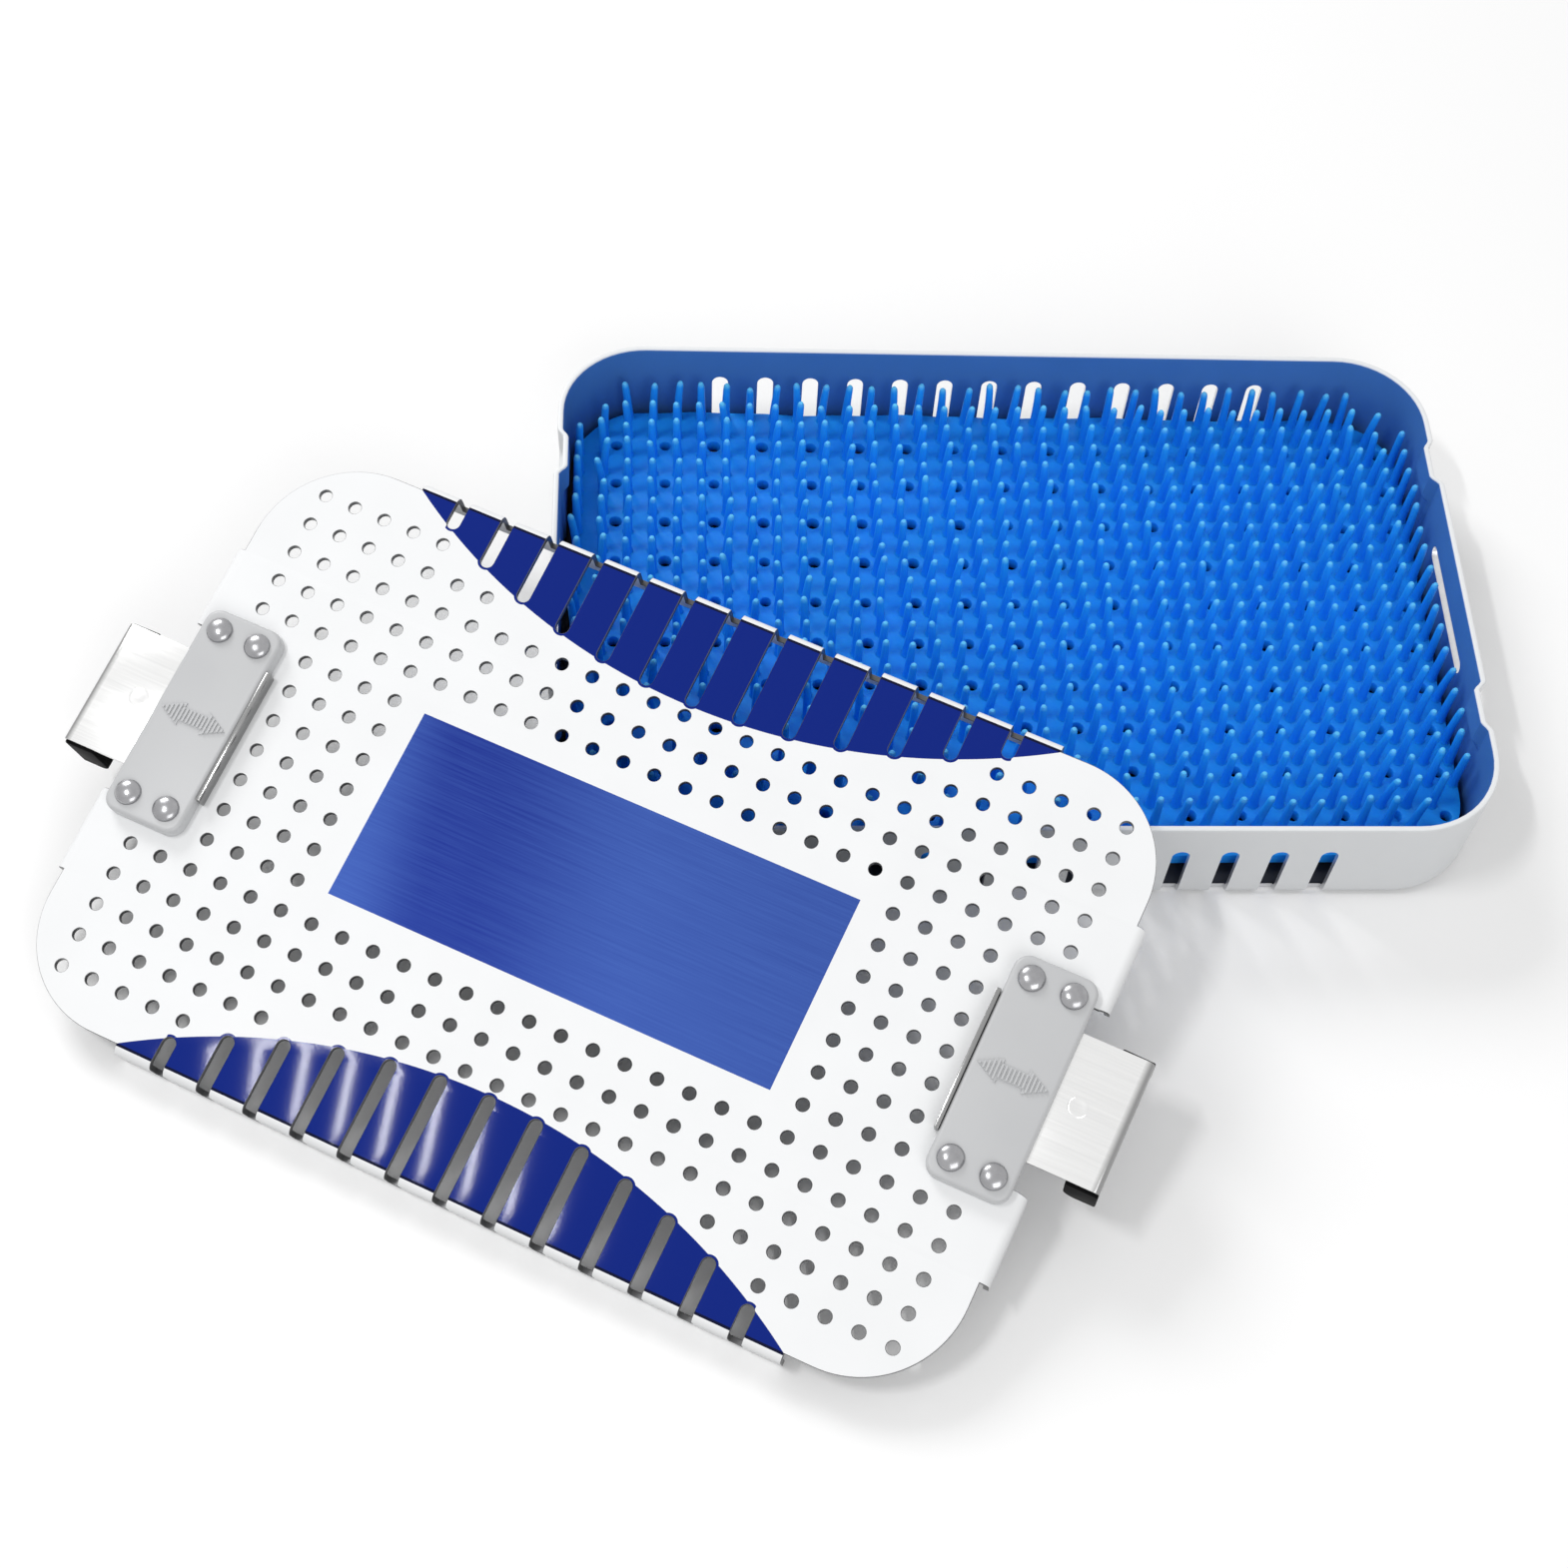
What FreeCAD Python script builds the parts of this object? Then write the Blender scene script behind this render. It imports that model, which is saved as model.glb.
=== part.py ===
import FreeCAD, Part
import math
import os
from FreeCAD import Placement, Rotation, Vector

os.makedirs("parts", exist_ok=True)

# Sterilization container in mm: a flat tray on the floor with its perforated lid taken off and
# leaning on the tray's front left corner. X is the tray's long side, +Y points away, +Z is up and
# the origin is the middle of the tray's underside. The lid is drawn in a frame of its own, with
# the middle of its top face at the origin, and is then set down in its leaning place.

# Tray: one deep-drawn sheet
SHEET = 1.5
TRAY_L = 248.0
TRAY_W = 162.0
TRAY_H = 33.0
TRAY_CORNER_R = 24.5
TRAY_BEND_R = 4.0
END_PANEL_HALF = 34.5
END_PANEL_STEP = 0.7
NOTCH_NEAR = 36.0
NOTCH_FAR = 47.0
NOTCH_RAMP = 3.0
NOTCH_INSET = 1.6
NOTCH_DEPTH = 9.0

# Steam slots, on one pitch in the tray's long walls and in the lid's long flanges
SLOT_COUNT = 13
SLOT_PITCH = 13.1
TRAY_SLOT_W = 4.6
TRAY_SLOT_TOP = 22.3
TRAY_SLOT_RUN = 9.0
LID_SLOT_W = 3.6

# Latch slot in each of the tray's end walls
KEEPER_LEN = 43.0
KEEPER_H = 4.2
KEEPER_DROP = 13.2

# Silicone mat with its fingers and feet
MAT_T = 4.0
MAT_TOP = 10.8
MAT_GAP_X = 1.6
MAT_GAP_Y = 2.4
MAT_CORNER_R = 20.0
FINGER_PITCH = 7.0
FINGER_COLS = 35
FINGER_ROWS = 21
FINGER_FIELD_Y = 4.0
FINGER_H = 14.6
FINGER_BASE_R = 1.7
FINGER_SIDES = 3
FINGER_CORNER_CUT = 2
FOOT_R = 4.0
FOOT_SIDES = 6
FOOT_COLS = 5
FOOT_ROWS = 3
FOOT_INSET = 18.0

# Lid: a perforated plate with two slotted long flanges and four short end tabs
LID_L = 250.6
LID_W = 162.6
LID_CORNER_R = 27.4
LID_DROP = 9.0
FLANGE_OUT = 2.4
FLANGE_BEND_R = 2.5
FLANGE_HALF = 90.6
FLANGE_LIP = 2.8
TAB_NEAR = 25.7
TAB_FAR = 47.5
CUTOUT_DEPTH = 3.3
LENS_MIDDLE = 55.0
HOLE_PITCH = 8.7
HOLE_R = 2.63
HOLE_SIDES = 4
HOLE_COLS = 13
HOLE_ROWS = 8
HOLE_OUTER_ROW_COL = 9
HOLE_SECOND_ROW_COL = 7
HOLE_PANEL_ROW = 3
HOLE_PANEL_COLS = (8, 11)

# Latches: a riveted housing at each end with a plate sliding out below it
HOUSING_X = 112.9
HOUSING_L = 21.8
HOUSING_W = 59.0
HOUSING_H = 3.8
HOUSING_CORNER_R = 4.0
HOUSING_EDGE = 0.7
RIVET_SPAN_X = 11.0
RIVET_SPAN_Y = 47.8
RIVET_SHANK_R = 1.6
RIVET_HEAD_R = 3.4
RIVET_HEAD_H = 1.7
RIVET_TAIL_R = 2.4
RIVET_TAIL_H = 0.9
RIVET_FIT = 0.05
RIVET_SIDES = 6
PLATE_T = 1.2
PLATE_W = 34.4
PLATE_REACH = 142.6
PLATE_RUN = 0.15
PLATE_BEND_R = 1.6
STOP_W = 37.4
STOP_H = 3.9
DETENT_X = 129.9
DETENT_R = 1.9
DETENT_SINK = 0.5
TONGUE_W = 24.0
TONGUE_REACH = 3.5
GRIP_T = 7.3
GRIP_ROUND_R = 3.5
GRIP_FIT = 0.05
LATCH_TRAVEL = 9.0

# Where the lid lies
LID_AT_X = -111.8
LID_AT_Y = -98.5
LID_TURN = -26.75
LID_SEAT_GAP = 0.25

# Flats that stand in for each quarter turn
CORNER_STEPS = 5
BEND_STEPS = 2
SLOT_STEPS = 3

TRAY_INNER_L = TRAY_L - 2 * SHEET
TRAY_INNER_W = TRAY_W - 2 * SHEET
FLANGE_FACE = LID_W / 2 + FLANGE_OUT
TAB_FACE = LID_L / 2 + FLANGE_OUT
TONGUE_BOTTOM = -(KEEPER_DROP + SHEET) - PLATE_T / 2
FACE_WITH_HOLES = "Part::FaceMakerBullseye"


def polygon_face(points):
    vectors = [Vector(*p) for p in points]
    return Part.Face(Part.makePolygon(vectors + vectors[:1]))


def prism(points, direction):
    return polygon_face(points).extrude(Vector(*direction))


def box(x0, x1, y0, y1, z0, z1):
    return Part.makeBox(x1 - x0, y1 - y0, z1 - z0, Vector(x0, y0, z0))


def ring(x, y, z, radius, sides, turn=0.0):
    step = 2 * math.pi / sides
    return [
        Vector(x + radius * math.cos(turn + i * step), y + radius * math.sin(turn + i * step), z)
        for i in range(sides)
    ]


def closed(points):
    return Part.makePolygon(points + points[:1])


def rounded_outline(length, width, radius, z):
    """Corner points of a rounded rectangle, with the same number of points for any size."""
    points = []
    for quarter in range(4):
        sx = 1 if quarter in (0, 3) else -1
        sy = 1 if quarter < 2 else -1
        for i in range(CORNER_STEPS + 1):
            angle = math.pi / 2 * (quarter + i / CORNER_STEPS)
            x = sx * (length / 2 - radius) + radius * math.cos(angle)
            y = sy * (width / 2 - radius) + radius * math.sin(angle)
            points.append(Vector(x, y, z))
    return points


def skin(rings):
    """Solid through rings of matching points, closed by a flat face at each end."""
    faces = [Part.Face(closed(rings[0])), Part.Face(closed(rings[-1]))]
    for low, high in zip(rings, rings[1:]):
        for i, point in enumerate(low):
            j = (i + 1) % len(low)
            faces.append(Part.Face(closed([point, low[j], high[j], high[i]])))
    return Part.makeSolid(Part.makeShell(faces))


def turned(x, y, profile, sides):
    """Solid of revolution from (height, radius) pairs."""
    return skin([ring(x, y, z, r, sides) for z, r in profile])


def round_slot(x, tip, end, half, steps):
    """Outline across and along of a slot with one round end at tip, open at end."""
    toward = 1 if end > tip else -1
    points = [(x + half, end), (x - half, end)]
    for i in range(steps + 1):
        angle = math.pi * i / steps
        points.append((x - half * math.cos(angle), tip + toward * half * (1 - math.sin(angle))))
    return points


def tub(length, width, radius, bend, low, top):
    """Rounded block whose bottom edge is bent up over a few flats."""
    rings = []
    for i in range(BEND_STEPS + 1):
        angle = math.pi / 2 * i / BEND_STEPS
        inset = bend * (1 - math.sin(angle))
        z = low + bend * (1 - math.cos(angle))
        rings.append(rounded_outline(length - 2 * inset, width - 2 * inset, radius - inset, z))
    rings.append(rounded_outline(length, width, radius, top))
    return skin(rings)


def both_ends(shape):
    return [shape, shape.mirror(Vector(0, 0, 0), Vector(1, 0, 0))]


def both_sides(shape):
    return [shape, shape.mirror(Vector(0, 0, 0), Vector(0, 1, 0))]


def four_corners(shape):
    return [s for half in both_ends(shape) for s in both_sides(half)]


def slot_places():
    first = -(SLOT_COUNT - 1) / 2
    return [(first + i) * SLOT_PITCH for i in range(SLOT_COUNT)]


# ---- tray ----


def end_panel(x_face, half, top):
    foot = TRAY_BEND_R
    points = [
        (x_face - SHEET, -half, foot),
        (x_face, -half, foot),
        (x_face + END_PANEL_STEP, -half, foot + END_PANEL_STEP),
        (x_face + END_PANEL_STEP, -half, top),
        (x_face - SHEET, -half, top),
    ]
    return prism(points, (0, 2 * half, 0))


def notch_block(x_inner, x_outer, z0, z1):
    points = [
        (x_inner, NOTCH_NEAR, z0),
        (x_outer, NOTCH_NEAR, z0),
        (x_outer, NOTCH_FAR + NOTCH_RAMP, z0),
        (x_inner, NOTCH_FAR, z0),
    ]
    return prism(points, (0, 0, z1 - z0))


def notch_pad():
    inner = TRAY_L / 2 - SHEET - NOTCH_INSET
    wall = TRAY_L / 2 - SHEET
    z0 = TRAY_H - NOTCH_DEPTH - SHEET
    points = [
        (wall, NOTCH_NEAR - SHEET, z0),
        (inner, NOTCH_NEAR - SHEET, z0),
        (inner, NOTCH_FAR, z0),
        (wall, NOTCH_FAR + NOTCH_RAMP, z0),
    ]
    return prism(points, (0, 0, TRAY_H - z0))


def wall_slot(x):
    y0 = TRAY_W / 2 - TRAY_SLOT_RUN
    outline = round_slot(x, TRAY_SLOT_TOP, -1, TRAY_SLOT_W / 2, SLOT_STEPS)
    return prism([(across, y0, z) for across, z in outline], (0, TRAY_SLOT_RUN + 1, 0))


def keeper_slot():
    x0 = TRAY_L / 2 - 2 * SHEET
    z = TRAY_H - KEEPER_DROP
    left = round_slot(0, -KEEPER_LEN / 2, 0, KEEPER_H / 2, SLOT_STEPS)
    right = round_slot(0, KEEPER_LEN / 2, 0, KEEPER_H / 2, SLOT_STEPS)
    outline = left[2:] + right[:1:-1]
    return prism([(x0, along, z + up) for up, along in outline], (2 * SHEET + END_PANEL_STEP + 1, 0, 0))


def tray_body():
    outer = tub(TRAY_L, TRAY_W, TRAY_CORNER_R, TRAY_BEND_R, 0, TRAY_H)
    inner_r = TRAY_CORNER_R - SHEET
    well = tub(TRAY_INNER_L, TRAY_INNER_W, inner_r, TRAY_BEND_R - SHEET, SHEET, TRAY_H + 1)
    outer = outer.fuse(both_ends(end_panel(TRAY_L / 2, END_PANEL_HALF, TRAY_H)))
    well = well.fuse(both_ends(end_panel(TRAY_L / 2 - SHEET, END_PANEL_HALF - SHEET, TRAY_H + 1)))
    body = outer.cut(well)
    body = body.fuse(four_corners(notch_pad()))
    pocket = notch_block(TRAY_L / 2 - NOTCH_INSET, TRAY_L / 2, TRAY_H - NOTCH_DEPTH, TRAY_H)
    cuts = four_corners(pocket)
    for x in slot_places():
        cuts += both_sides(wall_slot(x))
    cuts += both_ends(keeper_slot())
    return body.cut(cuts).removeSplitter()


# ---- silicone mat ----


def finger_places():
    half_col = (FINGER_COLS - 1) / 2
    half_row = (FINGER_ROWS - 1) / 2
    for i in range(FINGER_COLS):
        for j in range(FINGER_ROWS):
            to_side = min(i, FINGER_COLS - 1 - i)
            to_end = min(j, FINGER_ROWS - 1 - j)
            if to_side + to_end < FINGER_CORNER_CUT:
                continue
            yield (i - half_col) * FINGER_PITCH, FINGER_FIELD_Y + (j - half_row) * FINGER_PITCH


def silicone_mat():
    length = TRAY_INNER_L - 2 * MAT_GAP_X
    width = TRAY_INNER_W - 2 * MAT_GAP_Y
    low = MAT_TOP - MAT_T
    outline = closed(rounded_outline(length, width, MAT_CORNER_R, MAT_TOP))
    side = Part.Face(outline).extrude(Vector(0, 0, -MAT_T))
    faces = [f for f in side.Faces if f.BoundBox.ZMin < MAT_TOP - MAT_T / 2]
    roots = []
    for x, y in finger_places():
        base = ring(x, y, MAT_TOP, FINGER_BASE_R, FINGER_SIDES, math.pi / 2)
        tip = Vector(x, y, MAT_TOP + FINGER_H)
        roots.append(closed(base))
        for a, b in zip(base, base[1:] + base[:1]):
            faces.append(Part.Face(closed([a, b, tip])))
    faces.append(Part.makeFace([outline] + roots, FACE_WITH_HOLES))
    mat = Part.makeSolid(Part.makeShell(faces))
    feet = []
    for i in range(FOOT_COLS):
        for j in range(FOOT_ROWS):
            x = (i / (FOOT_COLS - 1) - 0.5) * (length - 2 * FOOT_INSET)
            y = (j / (FOOT_ROWS - 1) - 0.5) * (width - 2 * FOOT_INSET)
            feet.append(turned(x, y, [(SHEET, FOOT_R), (low, FOOT_R)], FOOT_SIDES))
    return mat, feet


# ---- lid, in its own frame ----


def flange_profile(face, top_in):
    """Section of a bent edge: across is the first value, height the second."""
    outer = []
    inner = []
    r_in = FLANGE_BEND_R - SHEET
    for i in range(BEND_STEPS + 1):
        a = math.pi / 2 * (1 - i / BEND_STEPS)
        cx = face - FLANGE_BEND_R
        cz = -FLANGE_BEND_R
        outer.append((cx + FLANGE_BEND_R * math.cos(a), cz + FLANGE_BEND_R * math.sin(a)))
        inner.append((cx + r_in * math.cos(a), cz + r_in * math.sin(a)))
    section = [(top_in, 0.0)] + outer + [(face, -LID_DROP), (face - SHEET, -LID_DROP)]
    return section + inner[::-1] + [(top_in, -SHEET)]


def long_flange():
    section = flange_profile(FLANGE_FACE, LID_W / 2 - 2 * FLANGE_BEND_R)
    return prism([(-FLANGE_HALF, y, z) for y, z in section], (2 * FLANGE_HALF, 0, 0))


def end_tab():
    section = flange_profile(TAB_FACE, LID_L / 2 - 2 * FLANGE_BEND_R)
    return prism([(x, TAB_NEAR, z) for x, z in section], (0, TAB_FAR - TAB_NEAR, 0))


def lens_edge(x):
    """Inner edge of the blue lens, an arc through the two tips and the middle."""
    rise = LID_W / 2 - LENS_MIDDLE
    radius = (FLANGE_HALF ** 2 + rise ** 2) / (2 * rise)
    return LENS_MIDDLE + radius - math.sqrt(radius ** 2 - x ** 2)


def lid_slot(x):
    low = -LID_DROP + FLANGE_LIP
    outline = round_slot(x, lens_edge(x), FLANGE_FACE + 1, LID_SLOT_W / 2, SLOT_STEPS)
    return prism([(across, along, low) for across, along in outline], (0, 0, 1 - low))


def hole_places():
    for i in range(-HOLE_COLS, HOLE_COLS + 1):
        for j in range(-HOLE_ROWS, HOLE_ROWS + 1):
            col = abs(i)
            row = abs(j)
            if row == HOLE_ROWS and col < HOLE_OUTER_ROW_COL:
                continue
            if row == HOLE_ROWS - 1 and col < HOLE_SECOND_ROW_COL:
                continue
            if row <= HOLE_PANEL_ROW and not HOLE_PANEL_COLS[0] <= col <= HOLE_PANEL_COLS[1]:
                continue
            yield i * HOLE_PITCH, j * HOLE_PITCH


def rivet_places(side):
    for sx in (-1, 1):
        for sy in (-1, 1):
            yield side * (HOUSING_X + sx * RIVET_SPAN_X / 2), sy * RIVET_SPAN_Y / 2


def lid_shell():
    loops = [rounded_outline(LID_L, LID_W, LID_CORNER_R, -SHEET)]
    for x, y in hole_places():
        loops.append(ring(x, y, -SHEET, HOLE_R, HOLE_SIDES))
    for side in (-1, 1):
        for x, y in rivet_places(side):
            loops.append(ring(x, y, -SHEET, RIVET_SHANK_R + RIVET_FIT, RIVET_SIDES))
    plate = Part.makeFace([closed(loop) for loop in loops], FACE_WITH_HOLES).extrude(Vector(0, 0, SHEET))
    edge = LID_W / 2 - 2 * FLANGE_BEND_R
    strips = both_sides(box(-FLANGE_HALF, FLANGE_HALF, edge, FLANGE_FACE + 1, -LID_DROP, 1))
    edge = LID_L / 2 - 2 * FLANGE_BEND_R
    strips += four_corners(box(edge, TAB_FACE + 1, TAB_NEAR, TAB_FAR, -LID_DROP, 1))
    lid = plate.cut(strips).fuse(both_sides(long_flange()) + four_corners(end_tab()))
    deep = LID_L / 2 - CUTOUT_DEPTH
    cuts = both_ends(box(deep, TAB_FACE + 1, -TAB_NEAR, TAB_NEAR, -LID_DROP, 1))
    for x in slot_places():
        cuts += both_sides(lid_slot(x))
    return lid.cut(cuts).removeSplitter()


# ---- latches, drawn for the +X end of the lid ----


def latch_housing():
    edge = HOUSING_EDGE
    wall = [rounded_outline(HOUSING_L, HOUSING_W, HOUSING_CORNER_R, z) for z in (0, HOUSING_H - edge)]
    top = rounded_outline(HOUSING_L - 2 * edge, HOUSING_W - 2 * edge, HOUSING_CORNER_R - edge, HOUSING_H)
    block = skin(wall + [top])
    block.translate(Vector(HOUSING_X, 0, 0))
    half = PLATE_W / 2 + PLATE_RUN
    roof = PLATE_T + 2 * PLATE_RUN
    channel = box(HOUSING_X - HOUSING_L, HOUSING_X + HOUSING_L, -half, half, -1, roof)
    cuts = [channel]
    for x, y in rivet_places(1):
        hole_r = RIVET_SHANK_R + RIVET_FIT
        cuts.append(turned(x, y, [(-1, hole_r), (HOUSING_H + 1, hole_r)], RIVET_SIDES))
    return block.cut(cuts)


def rivet(x, y):
    tail_end = -SHEET - RIVET_TAIL_H
    head_top = HOUSING_H + RIVET_HEAD_H
    profile = [
        (tail_end, RIVET_TAIL_R * 0.8),
        (-SHEET, RIVET_TAIL_R),
        (-SHEET, RIVET_SHANK_R),
        (HOUSING_H, RIVET_SHANK_R),
        (HOUSING_H, RIVET_HEAD_R),
        (head_top, RIVET_HEAD_R * 0.5),
    ]
    return turned(x, y, profile, RIVET_SIDES)


def latch_plate():
    low = PLATE_RUN
    top = PLATE_RUN + PLATE_T
    stop = HOUSING_X - HOUSING_L / 2 - PLATE_RUN
    face = PLATE_REACH
    back = face - PLATE_T - GRIP_T - TONGUE_REACH
    outer = []
    inner = []
    for i in range(BEND_STEPS + 1):
        angle = math.pi / 2 * (1 - i / BEND_STEPS)
        for radius, side in ((PLATE_BEND_R, outer), (PLATE_BEND_R - PLATE_T, inner)):
            x = face - PLATE_BEND_R + radius * math.cos(angle)
            side.append((x, top - PLATE_BEND_R + radius * math.sin(angle)))
    section = [(stop - PLATE_T, STOP_H), (stop, STOP_H), (stop, top)] + outer
    section += [(face, TONGUE_BOTTOM), (face - PLATE_T, TONGUE_BOTTOM)]
    section += inner[::-1] + [(stop - PLATE_T, low)]
    plate = prism([(x, -PLATE_W / 2, z) for x, z in section], (0, PLATE_W, 0))
    tongue = box(back, face - PLATE_T / 2, -TONGUE_W / 2, TONGUE_W / 2, TONGUE_BOTTOM, TONGUE_BOTTOM + PLATE_T)
    bar = box(stop - PLATE_T, stop, -STOP_W / 2, STOP_W / 2, low, STOP_H)
    dent = turned(DETENT_X, 0, [(top - DETENT_SINK, DETENT_R / 2), (top + 1, DETENT_R)], RIVET_SIDES)
    return plate.fuse([tongue, bar]).cut(dent).removeSplitter()


def latch_grip():
    outer = PLATE_REACH - PLATE_T - GRIP_FIT
    inner = PLATE_REACH - PLATE_T - GRIP_T
    top = PLATE_RUN - GRIP_FIT
    low = TONGUE_BOTTOM + PLATE_T + GRIP_FIT
    section = [(outer, top), (outer, low)]
    for i in range(BEND_STEPS + 1):
        angle = math.pi / 2 * i / BEND_STEPS
        x = inner + GRIP_ROUND_R * (1 - math.sin(angle))
        section.append((x, low + GRIP_ROUND_R * (1 - math.cos(angle))))
    section.append((inner, top))
    return prism([(x, -PLATE_W / 2, z) for x, z in section], (0, PLATE_W, 0))


# ---- placing ----


def lid_place():
    """Flange edge on the floor and underside just over the tray's rim, both exactly."""
    turn = math.radians(LID_TURN)
    along = (-math.sin(turn), math.cos(turn))
    rim_x = -(TRAY_L / 2 - TRAY_CORNER_R) - TRAY_CORNER_R * along[0]
    rim_y = -(TRAY_W / 2 - TRAY_CORNER_R) - TRAY_CORNER_R * along[1]
    run = (rim_x - LID_AT_X) * along[0] + (rim_y - LID_AT_Y) * along[1]
    goal = TRAY_H + LID_SEAT_GAP
    low = 0.0
    high = math.pi / 3
    for _ in range(60):
        tilt = (low + high) / 2
        centre = FLANGE_FACE * math.sin(tilt) + LID_DROP * math.cos(tilt)
        reach = (run - SHEET * math.sin(tilt)) / math.cos(tilt)
        if centre + reach * math.sin(tilt) - SHEET * math.cos(tilt) < goal:
            low = tilt
        else:
            high = tilt
    rotation = Rotation(Vector(0, 0, 1), LID_TURN).multiply(Rotation(Vector(1, 0, 0), math.degrees(tilt)))
    return Placement(Vector(LID_AT_X, LID_AT_Y, centre), rotation)


def write(name, shape):
    shape.exportStep("parts/" + name + ".step")


def main():
    write("tray_body", tray_body())
    mat, feet = silicone_mat()
    write("silicone_mat", mat.fuse(feet).removeSplitter())

    place = lid_place()
    half_turn = Rotation(Vector(0, 0, 1), 180)
    ends = {"right": Placement(), "left": Placement(Vector(0, 0, 0), half_turn)}

    def on_lid(shape, end="right"):
        moved = shape.copy()
        moved.Placement = place.multiply(ends[end])
        return moved

    write("lid_shell", on_lid(lid_shell()))
    pieces = {"latch_housing": latch_housing(), "latch_plate": latch_plate(), "latch_grip": latch_grip()}
    for end in ends:
        for name, shape in pieces.items():
            write(end + "_" + name, on_lid(shape, end))
        for x, y in rivet_places(1):
            across = "outer" if x > HOUSING_X else "inner"
            along = "back" if (y > 0) == (end == "right") else "front"
            write(end + "_rivet_" + along + "_" + across, on_lid(rivet(x, y), end))


main()
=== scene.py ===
import math
import random

import bmesh
import bpy
from mathutils import Matrix, Vector


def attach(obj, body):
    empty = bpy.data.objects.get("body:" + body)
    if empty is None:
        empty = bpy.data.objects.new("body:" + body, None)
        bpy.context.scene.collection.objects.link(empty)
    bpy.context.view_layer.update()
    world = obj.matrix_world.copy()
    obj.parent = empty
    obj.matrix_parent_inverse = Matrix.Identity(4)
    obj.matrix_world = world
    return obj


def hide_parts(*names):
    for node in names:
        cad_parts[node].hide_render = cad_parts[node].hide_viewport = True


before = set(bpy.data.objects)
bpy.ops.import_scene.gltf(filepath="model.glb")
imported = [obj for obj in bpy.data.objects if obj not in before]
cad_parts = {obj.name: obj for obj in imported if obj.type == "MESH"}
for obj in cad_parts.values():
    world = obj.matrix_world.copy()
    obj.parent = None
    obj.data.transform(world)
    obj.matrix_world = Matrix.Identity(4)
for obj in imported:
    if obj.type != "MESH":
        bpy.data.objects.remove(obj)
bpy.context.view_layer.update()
MM = 0.001

# ---------------------------------------------------------------- tray
# The tub of the container: one sheet of aluminium 1.5 mm thick, deep-drawn, painted white outside
# and blue inside. Steam slots are milled through its long walls and on into the bottom bend; each
# end has a raised panel with the latch slot and two pressed notches for the lid's tabs.

SHEET = 1.5
TRAY_L = 248.0
TRAY_W = 162.0
TRAY_H = 33.0
TRAY_CORNER_R = 24.5
TRAY_BEND_R = 4.0
RIM_ROUND = 0.45
SLOT_PITCH = 13.1
SLOT_PLACES = [(i - 6) * SLOT_PITCH for i in range(13)]
TRAY_SLOT_W = 4.6
TRAY_SLOT_TOP = 22.3
TRAY_SLOT_RUN = 2.6
KEEPER_LEN = 43.0
KEEPER_H = 4.2
KEEPER_Z = 19.8
PANEL_HALF = 34.5
PANEL_STEP = 0.7
NOTCH_NEAR = 35.2
NOTCH_FAR = 47.0
NOTCH_RAMP = 3.0
NOTCH_INSET = 1.6
NOTCH_Z = 24.0
# The end walls need many fine steps for the panel and notches, the long walls few.
CORNER_STEPS = 14
END_STEPS = 120
LONG_STEPS = 4
BEND_STEPS = 6
WALL_LEVELS = [7.0, 12.0, 18.0, 21.0, 22.0, 22.6, 23.2, 23.8, 24.4, 25.0, 26.0, 28.0, 30.0, 31.5]


def srgb(r, g, b):
    """Linear colour from the 0 to 255 values a screen shows."""
    def line(v):
        v /= 255
        return v / 12.92 if v <= 0.04045 else ((v + 0.055) / 1.055) ** 2.4
    return (line(r), line(g), line(b), 1.0)


def smooth(a, b, v):
    t = min(1.0, max(0.0, (v - a) / (b - a)))
    return t * t * (3 - 2 * t)


def quarter_turn(steps):
    return [math.pi / 2 / steps * i for i in range(steps + 1)]


def finished_mesh(name, mesh, materials, body, stands_for, place=None, sharp=20):
    """Makes the piece from a mesh in metres and hands it to the frame."""
    for i, m in enumerate(materials):
        if i < len(mesh.materials):
            mesh.materials[i] = m
        else:
            mesh.materials.append(m)
    mesh.shade_smooth()
    mesh.set_sharp_from_angle(angle=math.radians(sharp))
    piece = bpy.data.objects.new(name, mesh)
    bpy.context.scene.collection.objects.link(piece)
    if place is not None:
        piece.matrix_world = place
    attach(piece, body)
    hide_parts(*stands_for)


def mesh_from(name, verts, faces, indices=None):
    """Mesh from points in millimetres, with a material index for each face."""
    mesh = bpy.data.meshes.new(name)
    mesh.from_pydata([Vector(v) * MM for v in verts], [], faces)
    if indices:
        mesh.polygons.foreach_set("material_index", indices)
    mesh.update()
    return mesh


def cut_away(mesh, cutter, materials):
    """The mesh less the cutter, with the cutter's faces keeping their own material index."""
    objects = []
    for m in (mesh, cutter):
        for material in materials[len(m.materials):]:
            m.materials.append(material)
        o = bpy.data.objects.new("work", m)
        bpy.context.scene.collection.objects.link(o)
        objects.append(o)
    boolean = objects[0].modifiers.new("cut", "BOOLEAN")
    boolean.object = objects[1]
    boolean.operation = "DIFFERENCE"
    boolean.solver = "EXACT"
    boolean.use_self = False
    bpy.context.view_layer.update()
    graph = bpy.context.evaluated_depsgraph_get()
    result = bpy.data.meshes.new_from_object(objects[0].evaluated_get(graph))
    for o in objects:
        bpy.data.objects.remove(o)
    return result


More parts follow.
